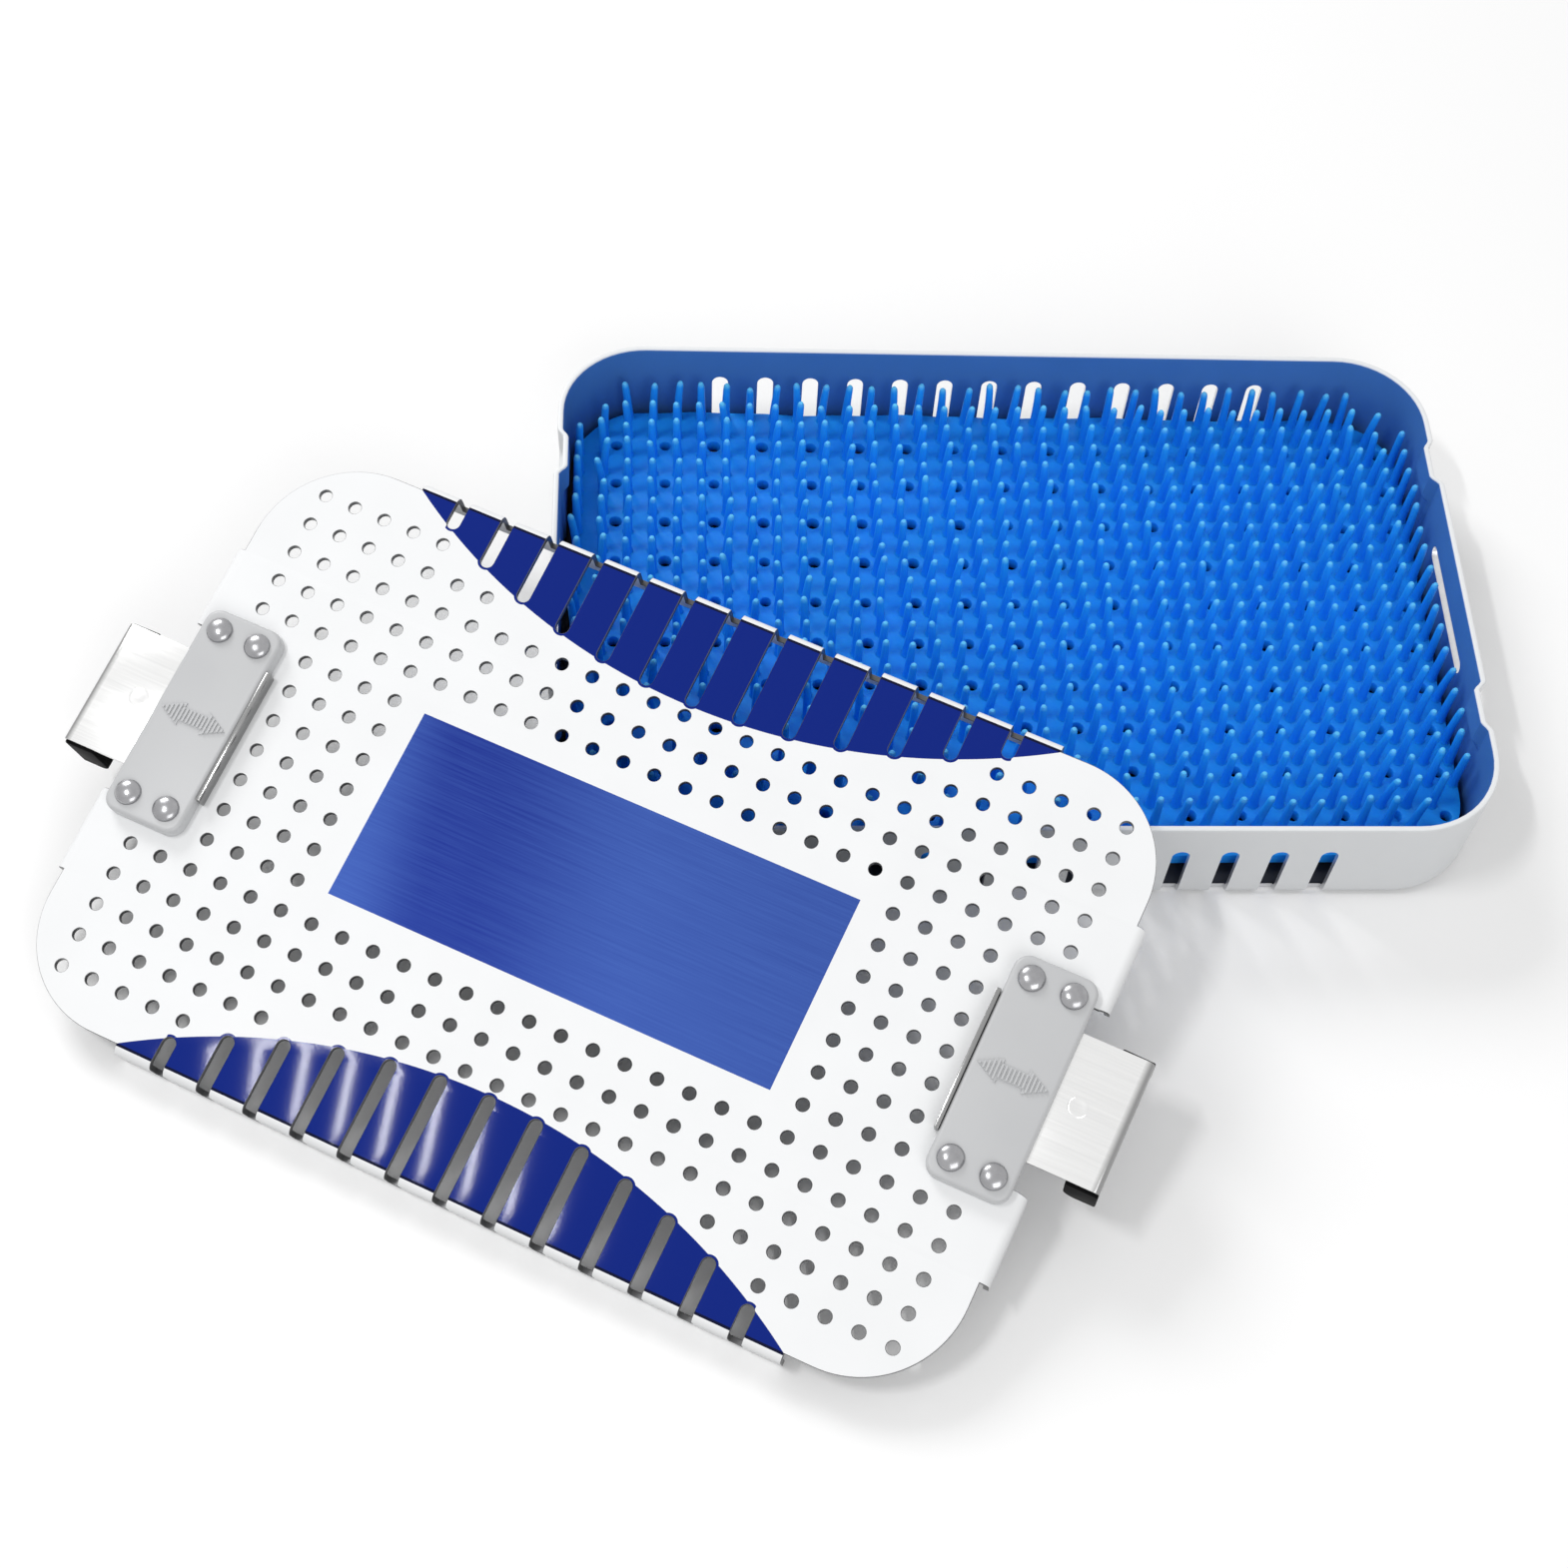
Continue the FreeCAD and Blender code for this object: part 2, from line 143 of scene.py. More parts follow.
def rounded_rectangle(length, width, radius, steps, run=None):
    """(point, outward normal) pairs round a rounded rectangle, anticlockwise; run(side) gives the
    places between the corners on each straight side, as shares of it."""
    out = []
    for quarter in range(4):
        sx = 1 if quarter in (0, 3) else -1
        sy = 1 if quarter < 2 else -1
        cx = sx * (length / 2 - radius)
        cy = sy * (width / 2 - radius)
        for i in range(steps + 1):
            a = math.pi / 2 * (quarter + i / steps)
            n = (math.cos(a), math.sin(a))
            out.append(((cx + radius * n[0], cy + radius * n[1]), n))
        if run:
            a = math.pi / 2 * (quarter + 1)
            n = (round(math.cos(a)), round(math.sin(a)))
            span = (width if quarter % 2 else length) - 2 * radius
            x, y = out[-1][0]
            for share in run(quarter):
                out.append(((x - n[1] * span * share, y + n[0] * span * share), n))
    return out


def wall_slot(x, top, foot, half, steps=12):
    """A slot with a round top that is open at its foot: (across, up) points."""
    points = [(x + half, foot), (x - half, foot)]
    for i in range(steps + 1):
        a = math.pi * i / steps
        points.append((x - half * math.cos(a), top - half * (1 - math.sin(a))))
    return points


def stacked(rings, tones=None):
    """Closed solid through rings of matching points. Tones are the material indices of the first
    cap, of each band between two rings and of the last cap."""
    n = len(rings[0])
    tones = tones or [0] * (len(rings) + 1)
    faces, indices = [tuple(range(n - 1, -1, -1))], [tones[0]]
    for r, tone in enumerate(tones[1:-1]):
        for i in range(n):
            j = (i + 1) % n
            faces.append((r * n + i, r * n + j, (r + 1) * n + j, (r + 1) * n + i))
            indices.append(tone)
    last = (len(rings) - 1) * n
    faces.append(tuple(range(last, last + n)))
    indices.append(tones[-1])
    return mesh_from("stacked", [p for ring in rings for p in ring], faces, indices)


def prisms(outlines, place, low, high, index=0):
    """Closed prisms over 2-D outlines, each between two heights; place turns (u, v, h) to XYZ."""
    verts, faces = [], []
    for outline in outlines:
        n, start = len(outline), len(verts)
        for h in (low, high):
            verts += [place(u, v, h) for u, v in outline]
        faces.append(tuple(range(start + n - 1, start - 1, -1)))
        faces.append(tuple(range(start + n, start + 2 * n)))
        for i in range(n):
            j = (i + 1) % n
            faces.append((start + i, start + j, start + n + j, start + n + i))
    mesh = mesh_from("prisms", verts, faces, [index] * len(faces))
    work = bmesh.new()
    work.from_mesh(mesh)
    bmesh.ops.recalc_face_normals(work, faces=work.faces)
    work.to_mesh(mesh)
    work.free()
    return mesh


def end_relief(along, z):
    """How far the end wall stands out at a point: the panel out, the notches in."""
    y = abs(along)
    panel = 1 - smooth(PANEL_HALF - 0.6, PANEL_HALF + 0.4, y)
    notch = smooth(NOTCH_NEAR, NOTCH_NEAR + 1, y)
    notch *= 1 - smooth(NOTCH_FAR, NOTCH_FAR + NOTCH_RAMP, y)
    out = PANEL_STEP * panel * smooth(2.5, 4.5, z)
    return out - NOTCH_INSET * notch * smooth(NOTCH_Z - 1.2, NOTCH_Z + 0.6, z)


def side_run(quarter):
    count = LONG_STEPS if quarter % 2 == 0 else END_STEPS
    return [i / count for i in range(1, count)]


# Levels of the sheet as (inset, height, material index): up the outside, over the rim, down inside.
bend = quarter_turn(BEND_STEPS)
rim = quarter_turn(3)
inner_r = TRAY_BEND_R - SHEET
levels = [(TRAY_BEND_R * (1 - math.sin(a)), TRAY_BEND_R * (1 - math.cos(a)), 0) for a in bend]
levels += [(0.0, z, 0) for z in WALL_LEVELS]
levels += [
    (RIM_ROUND * (1 - math.cos(a)), TRAY_H - RIM_ROUND * (1 - math.sin(a)), 0) for a in rim
]
levels += [(SHEET - inset, z, 0) for inset, z, _ in reversed(levels[-len(rim):])]
levels += [(SHEET, z, 1) for z in reversed(WALL_LEVELS)]
levels += [
    (SHEET + inner_r * (1 - math.sin(a)), SHEET + inner_r * (1 - math.cos(a)), 1)
    for a in reversed(bend)
]
stations = rounded_rectangle(TRAY_L, TRAY_W, TRAY_CORNER_R, CORNER_STEPS, side_run)
rings = []
for inset, z, _ in levels:
    ring = []
    for (x, y), (nx, ny) in stations:
        shift = end_relief(y, z) if abs(nx) == 1 else 0.0
        ring.append((x - nx * (inset - shift), y - ny * (inset - shift), z))
    rings.append(ring)
tray_mesh = stacked(rings, [0] + [tone for _, _, tone in levels[1:]] + [1])


def node_material(name):
    """A material, its node tree and its Principled BSDF."""
    m = bpy.data.materials.new(name)
    m.use_nodes = True
    return m, m.node_tree, m.node_tree.nodes["Principled BSDF"]


def add(tree, kind, values=None, **settings):
    node = tree.nodes.new("ShaderNode" + kind)
    for key, value in settings.items():
        setattr(node, key, value)
    for key, value in (values or {}).items():
        node.inputs[key].default_value = value
    return node


def two_tone(tree, first=None, second=None, **settings):
    """A colour mix; its factor, and a colour that isn't given, come from links."""
    node = add(tree, "Mix", data_type="RGBA", **settings)
    for socket, colour in (("A", first), ("B", second)):
        if colour:
            node.inputs[socket].default_value = colour
    return node


def wire(tree, *pairs):
    for source, target in pairs:
        tree.links.new(source, target)


def new_group(name, inputs, outputs):
    group = bpy.data.node_groups.new(name, "ShaderNodeTree")
    for label, value in inputs.items():
        socket = group.interface.new_socket(label, in_out="INPUT", socket_type="NodeSocketFloat")
        socket.default_value = value
    for label in outputs:
        group.interface.new_socket(label, in_out="OUTPUT", socket_type="NodeSocketFloat")
    return group, group.nodes.new("NodeGroupInput"), group.nodes.new("NodeGroupOutput")


# Powder coat and anodising share one faint unevenness: a cloudy mask and a fine orange-peel height.
coat_group, coat_in, coat_out = new_group(
    "coat unevenness", {"Cloud Scale": 40.0, "Peel Scale": 1400.0}, ["Cloud", "Peel"]
)
where = add(coat_group, "TexCoord")
cloud = add(coat_group, "TexNoise", {"Detail": 3.0, "Roughness": 0.55})
peel = add(coat_group, "TexNoise", {"Detail": 1.0, "Roughness": 0.4})
wire(
    coat_group,
    (where.outputs["Object"], cloud.inputs["Vector"]),
    (where.outputs["Object"], peel.inputs["Vector"]),
    (coat_in.outputs["Cloud Scale"], cloud.inputs["Scale"]),
    (coat_in.outputs["Peel Scale"], peel.inputs["Scale"]),
    (cloud.outputs["Fac"], coat_out.inputs["Cloud"]),
    (peel.outputs["Fac"], coat_out.inputs["Peel"]),
)


def coated(name, dark, light, rough, bump=0.02):
    """Painted or anodised sheet: colour and gloss vary a little over its surface."""
    m, tree, shader = node_material(name)
    coat = add(tree, "Group", node_tree=coat_group)
    mix = two_tone(tree, dark, light)
    gloss = add(tree, "MapRange", {"From Min": 0.3, "From Max": 0.7})
    gloss.inputs["To Min"].default_value = rough - 0.04
    gloss.inputs["To Max"].default_value = rough + 0.04
    relief = add(tree, "Bump", {"Strength": bump, "Distance": 0.0001})
    wire(
        tree,
        (coat.outputs["Cloud"], mix.inputs["Factor"]),
        (coat.outputs["Cloud"], gloss.inputs["Value"]),
        (coat.outputs["Peel"], relief.inputs["Height"]),
        (mix.outputs["Result"], shader.inputs["Base Color"]),
        (gloss.outputs["Result"], shader.inputs["Roughness"]),
        (relief.outputs["Normal"], shader.inputs["Normal"]),
    )
    return m


tray_white = coated("tray white coat", srgb(226, 228, 230), srgb(234, 236, 238), 0.38)
tray_blue = coated("tray blue lining", srgb(64, 114, 176), srgb(74, 126, 188), 0.4)

# The floor of the tray under the mat is grey metal, painted dark: painted shade for the gloom under
# the mat.
TRAY_FLOOR_TOP = 4.6
tree = tray_blue.node_tree
where = add(tree, "TexCoord")
height = add(tree, "SeparateXYZ")
floor_shade_mask = add(tree, "Math", {1: TRAY_FLOOR_TOP * MM}, operation="LESS_THAN")
floor_shade_mix = two_tone(tree, second=srgb(66, 68, 72))
base = tree.nodes["Principled BSDF"].inputs["Base Color"]
wire(
    tree,
    (where.outputs["Object"], height.inputs["Vector"]),
    (height.outputs["Z"], floor_shade_mask.inputs[0]),
    (floor_shade_mask.outputs[0], floor_shade_mix.inputs["Factor"]),
    (base.links[0].from_socket, floor_shade_mix.inputs["A"]),
    (floor_shade_mix.outputs["Result"], base),
)


def bare_edge(name, tone):
    """Milled aluminium where a tool went through the coat."""
    m, tree, shader = node_material(name)
    where = add(tree, "TexCoord")
    streak = add(tree, "Mapping", {"Scale": (300, 300, 2600)})
    noise = add(tree, "TexNoise", {"Scale": 1.0, "Detail": 2.0})
    mix = two_tone(tree, srgb(tone - 14, tone - 13, tone - 11), srgb(tone + 8, tone + 8, tone + 9))
    rough = add(tree, "MapRange", {"To Min": 0.24, "To Max": 0.42})
    wire(
        tree,
        (where.outputs["Object"], streak.inputs["Vector"]),
        (streak.outputs["Vector"], noise.inputs["Vector"]),
        (noise.outputs["Fac"], mix.inputs["Factor"]),
        (noise.outputs["Fac"], rough.inputs["Value"]),
        (mix.outputs["Result"], shader.inputs["Base Color"]),
        (rough.outputs["Result"], shader.inputs["Roughness"]),
    )
    shader.inputs["Metallic"].default_value = 0.75
    return m


tray_edge = bare_edge("milled tray edge", 222)
tray_finishes = [tray_white, tray_blue, tray_edge]
EDGE_FINISH = 2

# Each cutter reaches past the sheet on both sides.
wall_slots = [wall_slot(x, TRAY_SLOT_TOP, -2.0, TRAY_SLOT_W / 2) for x in SLOT_PLACES]
half = KEEPER_H / 2
keeper = []
for i in range(25):
    a = math.pi * i / 12
    middle = (KEEPER_LEN / 2 - half) * (1 if i <= 12 else -1)
    keeper.append((middle + half * math.sin(a), KEEPER_Z + half * math.cos(a)))
cuts = [
    (wall_slots, lambda u, v, h: (u, h, v), TRAY_W / 2 - TRAY_SLOT_RUN, TRAY_W / 2 + 2),
    ([keeper], lambda u, v, h: (h, u, v), TRAY_L / 2 - 4, TRAY_L / 2 + 3),
]
for outlines, place, near, far in cuts:
    for side in (-1, 1):
        cutter = prisms(outlines, place, side * near, side * far, EDGE_FINISH)
        tray_mesh = cut_away(tray_mesh, cutter, tray_finishes)
finished_mesh("tray", tray_mesh, tray_finishes, "tray", ["tray_body"], sharp=24)

# ---------------------------------------------------------------- silicone mat
# A moulded mat of soft blue silicone that lies in the tray on short feet. 723 tapering fingers
# stand in rows on it to hold instruments still, and drain holes let the steam through. The
# fingers are soft, so none stands quite straight.

MAT_TOP = 10.8
MAT_T = 4.0
MAT_HALF_X = 120.9
MAT_FRONT = -75.4
MAT_BACK = 76.6
MAT_CORNER_R = 20.0
MAT_EDGE_ROUND = 0.5
FINGER_COLS = 35
FINGER_ROWS = 21
FINGER_PITCH = 7.0
FINGER_FIELD_Y = 4.0
FINGER_H = 14.6
FINGER_SIDES = 10
FINGER_LEAN = 0.6
# (height over the slab, radius) up one finger, below its rounded tip
FINGER_PROFILE = [
    (-0.6, 1.8), (0.0, 1.7), (0.35, 1.5), (1.0, 1.34), (4.5, 1.22),
    (8.5, 1.1), (12.6, 1.02), (13.8, 0.92), (14.4, 0.6),
]
DRAIN_COLS = 17
DRAIN_ROWS = 10
DRAIN_R = 1.75
DRAIN_FIRST_X = -108.5
DRAIN_FIRST_Y = 63.5
FOOT_COLS = 5
FOOT_ROWS = 3
FOOT_SPAN_X = 205.8
FOOT_SPAN_Y = 118.2
FOOT_R = 4.0


def cut_sheet(outline, holes, low, high, edge, resolution=1):
    """Flat sheet with rounded edges from 2-D loops, in metres, between two heights in mm."""
    curve = bpy.data.curves.new("sheet", "CURVE")
    curve.dimensions = "2D"
    curve.fill_mode = "BOTH"
    curve.extrude = ((high - low) / 2 - edge) * MM
    curve.bevel_depth = edge * MM
    curve.bevel_resolution = resolution
    curve.offset = -edge * MM
    for loop in [outline] + holes:
        spline = curve.splines.new("POLY")
        spline.points.add(len(loop) - 1)
        spline.use_cyclic_u = True
        for point, (u, v) in zip(spline.points, loop):
            point.co = (u * MM, v * MM, 0, 1)
    o = bpy.data.objects.new("sheet", curve)
    bpy.context.scene.collection.objects.link(o)
    bpy.context.view_layer.update()
    graph = bpy.context.evaluated_depsgraph_get()
    mesh = bpy.data.meshes.new_from_object(o.evaluated_get(graph))
    bpy.data.objects.remove(o)
    work = bmesh.new()
    work.from_mesh(mesh)
    bmesh.ops.remove_doubles(work, verts=work.verts, dist=1e-6)
    bmesh.ops.translate(work, verts=work.verts, vec=Vector((0, 0, (low + high) / 2 * MM)))
    work.to_mesh(mesh)
    work.free()
    return mesh


def joined(name, meshes):
    """One mesh from several."""
    work = bmesh.new()
    for mesh in meshes:
        work.from_mesh(mesh)
    whole = bpy.data.meshes.new(name)
    work.to_mesh(whole)
    work.free()
    return whole


def circle(x, y, radius, steps, turn=0.0):
    angles = [turn + 2 * math.pi * i / steps for i in range(steps)]
    return [(x + radius * math.cos(a), y + radius * math.sin(a)) for a in angles]


def mat_edge():
    """The slab's outline, a little wavy, as a soft mat lies in its tray."""
    width = MAT_BACK - MAT_FRONT
    middle = (MAT_BACK + MAT_FRONT) / 2
    places = [i / 40 for i in range(1, 40)]
    loop = rounded_rectangle(2 * MAT_HALF_X, width, MAT_CORNER_R, 10, lambda quarter: places)
    out = []
    for (x, y), (nx, ny) in loop:
        if ny > 0.5:
            wave = 0.35 * math.sin(x * 0.11 + 1) + 0.2 * math.sin(x * 0.31)
        else:
            wave = 0.15 * math.sin(y * 0.2 + x * 0.05)
        out.append((x - nx * (0.3 + wave), y + middle - ny * (0.3 + wave)))
    return out


def finger_field():
    """All the fingers: rings of points up each one, closed below and with a point on top."""
    verts, faces = [], []
    for i in range(FINGER_COLS):
        for j in range(FINGER_ROWS):
            if min(i, FINGER_COLS - 1 - i) + min(j, FINGER_ROWS - 1 - j) < 2:
                continue
            x = (i - FINGER_COLS // 2) * FINGER_PITCH
            y = FINGER_FIELD_Y + (FINGER_ROWS // 2 - j) * FINGER_PITCH
            lean = Vector((random.gauss(0, FINGER_LEAN), random.gauss(0, FINGER_LEAN)))
            turn = random.uniform(0, math.pi)
            start = len(verts)
            for up, radius in FINGER_PROFILE:
                t = max(0.0, up) / FINGER_H
                shift = lean * (0.4 * t + 0.6 * t * t)
                ring = circle(x + shift.x, y + shift.y, radius, FINGER_SIDES, turn)
                verts += [(u, v, MAT_TOP + up) for u, v in ring]
            top = len(verts)
            verts.append((x + lean.x, y + lean.y, MAT_TOP + FINGER_H))
            faces.append(tuple(range(start + FINGER_SIDES - 1, start - 1, -1)))
            for k in range(FINGER_SIDES):
                step = (k + 1) % FINGER_SIDES - k
                for a in range(start + k, top - FINGER_SIDES, FINGER_SIDES):
                    b = a + step
                    faces.append((a, b, b + FINGER_SIDES, a + FINGER_SIDES))
                last = top - FINGER_SIDES + k
                faces.append((last, last + step, top))
    return mesh_from("fingers", verts, faces)


def mat_feet():
    profile = [(SHEET, FOOT_R - 0.4), (SHEET + 0.4, FOOT_R), (MAT_TOP - MAT_T + 0.5, FOOT_R)]
    feet = []
    for i in range(FOOT_COLS):
        for j in range(FOOT_ROWS):
            x = (i / (FOOT_COLS - 1) - 0.5) * FOOT_SPAN_X
            y = (j / (FOOT_ROWS - 1) - 0.5) * FOOT_SPAN_Y
            rings = [[(u, v, z) for u, v in circle(x, y, r, 16)] for z, r in profile]
            feet.append(stacked(rings))
    return feet


random.seed(7)
drains = []
for i in range(DRAIN_COLS):
    for j in range(DRAIN_ROWS):
        x = DRAIN_FIRST_X + 2 * FINGER_PITCH * i
        y = DRAIN_FIRST_Y - 2 * FINGER_PITCH * j
        drains.append(circle(x, y, DRAIN_R * random.uniform(0.86, 1.08), 12))
slab = cut_sheet(mat_edge(), drains, MAT_TOP - MAT_T, MAT_TOP, MAT_EDGE_ROUND)
mat_mesh = joined("mat", [slab, finger_field()] + mat_feet())

# The fingers are painted a little lighter going up and much lighter at their tips: a painted
# highlight for light coming through and onto the tips.
silicone, tree, shader = node_material("blue silicone")
where = add(tree, "TexCoord")
height = add(tree, "SeparateXYZ")
ramp = add(tree, "ValToRGB")
stops = ramp.color_ramp.elements
stops[0].position, stops[0].color = 0.0, srgb(28, 160, 255)
stops[1].position, stops[1].color = 1.0, srgb(100, 200, 255)
stops.new(0.9).color = srgb(38, 166, 255)
span = add(tree, "MapRange", {"From Min": (MAT_TOP - 0.5) * MM})
span.inputs["From Max"].default_value = (MAT_TOP + FINGER_H) * MM
mottle = add(tree, "TexNoise", {"Scale": 60.0, "Detail": 4.0})
mix = two_tone(tree, blend_type="MULTIPLY")
mix.inputs["Factor"].default_value = 0.2
relief = add(tree, "Bump", {"Strength": 0.15, "Distance": 0.0002})
grain = add(tree, "TexNoise", {"Scale": 900.0, "Detail": 2.0})
rough = add(tree, "MapRange", {"To Min": 0.42, "To Max": 0.56})
wire(
    tree,
    (where.outputs["Object"], height.inputs["Vector"]),
    (where.outputs["Object"], mottle.inputs["Vector"]),
    (where.outputs["Object"], grain.inputs["Vector"]),
    (height.outputs["Z"], span.inputs["Value"]),
    (span.outputs["Result"], ramp.inputs["Fac"]),
    (ramp.outputs["Color"], mix.inputs["A"]),
    (mottle.outputs["Color"], mix.inputs["B"]),
    (mix.outputs["Result"], shader.inputs["Base Color"]),
    (grain.outputs["Fac"], relief.inputs["Height"]),
    (grain.outputs["Fac"], rough.inputs["Value"]),
    (rough.outputs["Result"], shader.inputs["Roughness"]),
    (relief.outputs["Normal"], shader.inputs["Normal"]),
)
shader.inputs["Specular IOR Level"].default_value = 0.25
shader.inputs["Subsurface Weight"].default_value = 0.25
shader.inputs["Subsurface Radius"].default_value = (0.1, 0.4, 1.0)
shader.inputs["Subsurface Scale"].default_value = 0.002
finished_mesh(
    "silicone_finger_mat", mat_mesh, [silicone], "mat", ["silicone_mat"], sharp=40
)

# ---------------------------------------------------------------- lid
# One sheet of the same aluminium, punched while flat with 266 round holes and 26 slots, then bent
# down along both long sides and at four short tabs. It is white with a bare blue brushed panel and
# a glossy blue lens along each slotted side. It lies off the tray, over its front left corner.

LID_AT = Vector((-111.8, -98.5, 29.938)) * MM
LID_TURN = math.radians(-26.75)
LID_TILT = math.radians(14.695)
LID_L = 250.6
LID_W = 162.6
LID_CORNER_R = 27.4
LID_DROP = 9.0
LID_EDGE_ROUND = 0.12
FLANGE_OUT = 2.4
BEND_R = 2.5
FLANGE_HALF = 90.6
FLANGE_LIP = 2.8
TAB_NEAR = 25.7
TAB_FAR = 47.5
CUTOUT_X = 122.0
CUTOUT_Y = TAB_NEAR - 1.5
LID_SLOT_W = 3.6
HOLE_R = 1.7
HOLE_PITCH = 8.7
HOLE_COLS = 13
HOLE_ROWS = 8
# Holes left out: near the middle of the two outermost rows, and round the panel.
OUTER_ROW_FROM = 9
SECOND_ROW_FROM = 7
PANEL_ROWS = 3
BESIDE_PANEL_COLS = (8, 11)
PANEL_HALF_X = 60.9
PANEL_HALF_Y = 26.1
LENS_MIDDLE = 55.0

LID_PLACE = Matrix.Translation(LID_AT)
LID_PLACE = LID_PLACE @ Matrix.Rotation(LID_TURN, 4, "Z") @ Matrix.Rotation(LID_TILT, 4, "X")
NEUTRAL_R = BEND_R - SHEET / 2
BEND_RUN = NEUTRAL_R * math.pi / 2
LEG = LID_DROP - BEND_R
BEND_Y = LID_W / 2 + FLANGE_OUT - BEND_R
BEND_X = LID_L / 2 + FLANGE_OUT - BEND_R
BLANK_Y = BEND_Y + BEND_RUN + LEG
BLANK_X = BEND_X + BEND_RUN + LEG
LENS_RISE = LID_W / 2 - LENS_MIDDLE
LENS_R = (FLANGE_HALF ** 2 + LENS_RISE ** 2) / (2 * LENS_RISE)


def lens_edge(x):
    return LENS_MIDDLE + LENS_R - math.sqrt(LENS_R ** 2 - x * x)


def fillet(corner, before, after, radius, steps=5):
    """Points that round the corner between two others."""
    c, b, a = Vector(corner), Vector(before), Vector(after)
    u, v = (b - c).normalized(), (a - c).normalized()
    spread = u.angle(v)
    reach = radius / math.tan(spread / 2)
    centre = c + (u + v).normalized() * (radius / math.sin(spread / 2))
    start, end = c + u * reach - centre, c + v * reach - centre
    turn = start.angle_signed(end)
    out = []
    for i in range(steps + 1):
        t = turn * i / steps
        cos, sin = math.cos(-t), math.sin(-t)
        x = centre.x + start.x * cos - start.y * sin
        y = centre.y + start.x * sin + start.y * cos
        out.append((x, y))
    return out


def lid_blank():
    """Quarter of the blank's outline mirrored round, anticlockwise from the +X side."""
    quarter = [(CUTOUT_X, 0.0)]
    quarter += fillet((CUTOUT_X, CUTOUT_Y), (CUTOUT_X, 0), (BLANK_X, CUTOUT_Y), 1.6)
    relief_end = (BEND_X + 1, TAB_NEAR + 0.3)
    quarter += fillet((BEND_X, CUTOUT_Y), (CUTOUT_X, CUTOUT_Y), relief_end, 0.2, 1)
    quarter += fillet((BLANK_X, TAB_NEAR), (BEND_X, TAB_NEAR), (BLANK_X, TAB_FAR), 0.6, 3)
    quarter += fillet((BLANK_X, TAB_FAR), (BLANK_X, TAB_NEAR), (BEND_X, TAB_FAR), 0.6, 3)
    edge_x, edge_y = LID_L / 2, LID_W / 2
    quarter += [(edge_x, TAB_FAR)]
    for a in quarter_turn(24):
        x = edge_x - LID_CORNER_R + LID_CORNER_R * math.cos(a)
        y = edge_y - LID_CORNER_R + LID_CORNER_R * math.sin(a)
        if y > TAB_FAR + 0.5:
            quarter.append((x, y))
    quarter += [(FLANGE_HALF, edge_y)]
    quarter += fillet((FLANGE_HALF, BLANK_Y), (FLANGE_HALF, edge_y), (0, BLANK_Y), 0.8, 3)
    quarter += [(0.0, BLANK_Y)]
    left = [(-x, y) for x, y in reversed(quarter)]
    top = quarter + left[1:]
    bottom = [(x, -y) for x, y in reversed(top)]
    return top + bottom[1:-1]


def lid_holes():
    low, high = BESIDE_PANEL_COLS
    for i in range(-HOLE_COLS, HOLE_COLS + 1):
        for j in range(-HOLE_ROWS, HOLE_ROWS + 1):
            col, row = abs(i), abs(j)
            outermost = row == HOLE_ROWS and col < OUTER_ROW_FROM
            second = row == HOLE_ROWS - 1 and col < SECOND_ROW_FROM
            panel = row <= PANEL_ROWS and not low <= col <= high
            if not (outermost or second or panel):
                yield i * HOLE_PITCH, j * HOLE_PITCH


def closed_slot(x, tip, end, half, side, steps=10):
    """Slot punched in the blank: round inner end at tip, square-cornered outer end."""
    loop = []
    for i in range(steps + 1):
        a = math.pi * i / steps
        loop.append((x - half * math.cos(a), side * (tip + half * (1 - math.sin(a)))))
    return loop + [(x + half, side * end), (x - half, side * end)]


def bend_down(mesh):
    """Bends the blank's flanges and tabs, with cuts across each bend so that it runs round."""
    bends = ((1, BEND_Y), (0, BEND_X))
    work = bmesh.new()
    work.from_mesh(mesh)
    for f in work.faces:
        f.normal_update()
    for axis, start in bends:
        for side in (-1, 1):
            for k in range(7):
                point, normal = Vector(), Vector()
                point[axis] = side * (start + BEND_RUN * k / 6) * MM
                normal[axis] = side
                bmesh.ops.bisect_plane(
                    work, geom=work.verts[:] + work.edges[:] + work.faces[:],
                    plane_co=point, plane_no=normal, dist=1e-7,
                )
    for f in work.faces:
        f.material_index = 0 if abs(f.normal.z) > 0.9 else 1
    for v in work.verts:
        for axis, start in bends:
            side = 1 if v.co[axis] > 0 else -1
            run = abs(v.co[axis]) / MM - start
            if run <= 0:
                continue
            angle = min(run, BEND_RUN) / NEUTRAL_R
            down = max(0.0, run - BEND_RUN)
            radius = NEUTRAL_R + v.co.z / MM + SHEET / 2
            v.co[axis] = side * (start + radius * math.sin(angle)) * MM
            v.co.z = (-BEND_R + radius * math.cos(angle) - down) * MM
    work.to_mesh(mesh)
    work.free()
    return mesh


loops = [circle(x, y, HOLE_R, 24) for x, y in lid_holes()]
for x in SLOT_PLACES:
    for side in (-1, 1):
        loops.append(closed_slot(x, lens_edge(x), BLANK_Y - FLANGE_LIP, LID_SLOT_W / 2, side))
lid_mesh = bend_down(cut_sheet(lid_blank(), loops, -SHEET, 0, LID_EDGE_ROUND, 0))

